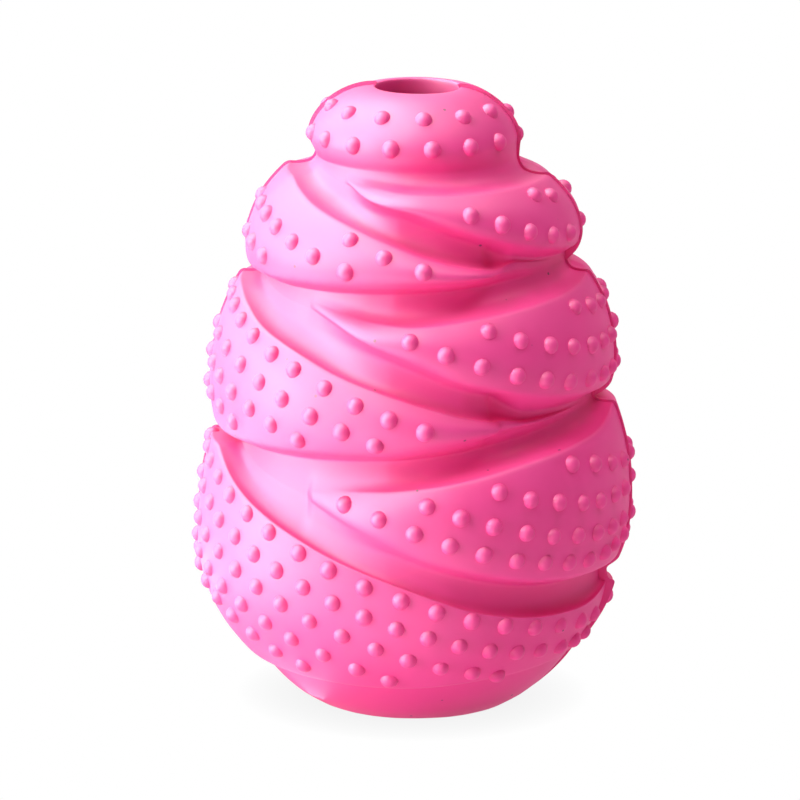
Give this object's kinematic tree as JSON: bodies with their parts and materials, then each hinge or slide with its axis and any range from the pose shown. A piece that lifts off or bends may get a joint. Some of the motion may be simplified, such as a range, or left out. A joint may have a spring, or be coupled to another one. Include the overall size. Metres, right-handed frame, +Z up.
{
  "type": "treat dispensing dog toy",
  "caption": "Hollow egg-shaped rubber treat toy with studded ribbons wound round it, a small top hole and an open base, moulded as front and rear half shells joined on a seam.",
  "frame": {"origin": "centre of the flat base ring, on the surface that the toy stands on", "axes": "+Z up along the toy's long axis, -Y out of the front half shell, +X to the right seam; the seam lies on the plane y = 0"},
  "size_m": [0.0625, 0.0626, 0.087],
  "materials": {
    "front_rubber": "satin moulded natural rubber, bright pink",
    "rear_rubber": "satin moulded natural rubber, bright pink"
  },
  "bodies": {
    "root": {"front_shell": "front_rubber", "rear_shell": "rear_rubber"}
  },
  "joints": []
}
